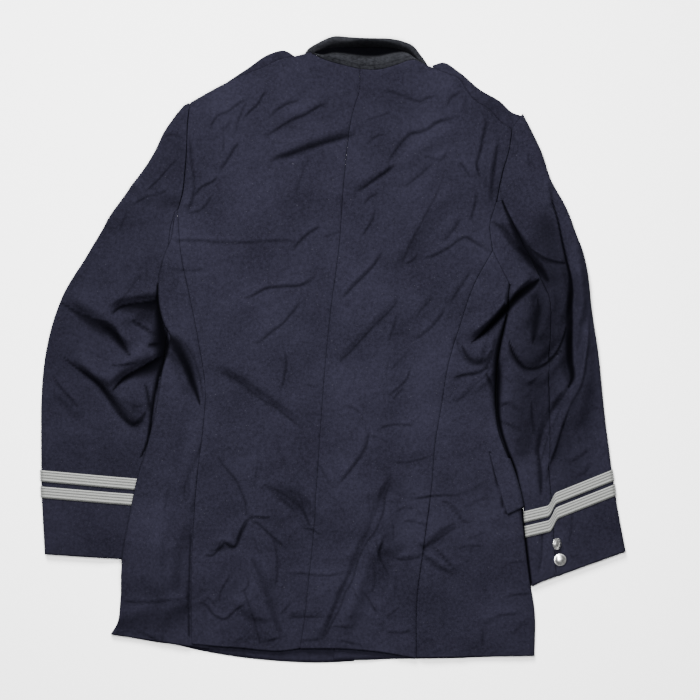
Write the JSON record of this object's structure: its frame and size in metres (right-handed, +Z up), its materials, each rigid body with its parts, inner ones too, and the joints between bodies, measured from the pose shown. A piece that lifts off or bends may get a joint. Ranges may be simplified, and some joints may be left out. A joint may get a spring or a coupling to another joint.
{
  "type": "fire service dress jacket",
  "caption": "Tailored uniform jacket lying flat on its front, back upwards, collar turned up, with shoulder straps, pocket flaps and banded cuffs.",
  "frame": {"origin": "centre of the bounding box's base, on the surface the jacket lies on", "axes": "+Z up from the surface through the back panels, +Y from the hem towards the collar, +X towards the jacket's right sleeve (picture right)"},
  "size_m": [0.7912, 0.8468, 0.0203],
  "materials": {
    "wool": "dark navy wool twill with a short nap",
    "melton": "charcoal felted undercollar cloth",
    "braid": "woven silver-grey ribbed braid with a metallic yarn",
    "buttons": "polished silver plated, lightly worn"
  },
  "bodies": {
    "root": {"back_left": "wool", "back_right": "wool", "side_left": "wool", "side_right": "wool", "front_left": "wool", "front_right": "wool", "lapel_left": "wool", "lapel_right": "wool", "sleeve_left_top": "wool", "sleeve_left_under": "wool", "sleeve_right_top": "wool", "sleeve_right_under": "wool", "epaulette_left": "wool", "epaulette_right": "wool", "pocket_flap_left": "wool", "pocket_flap_right": "wool", "collar_stand": "melton", "collar_leaf": "melton", "braid_left_upper": "braid", "braid_left_lower": "braid", "braid_right_upper": "braid", "braid_right_lower": "braid", "cuff_button_left_1": "buttons", "cuff_button_left_2": "buttons", "cuff_button_right_1": "buttons", "cuff_button_right_2": "buttons", "front_button_1": "buttons", "front_button_2": "buttons", "front_button_3": "buttons", "front_button_4": "buttons"}
  },
  "joints": []
}
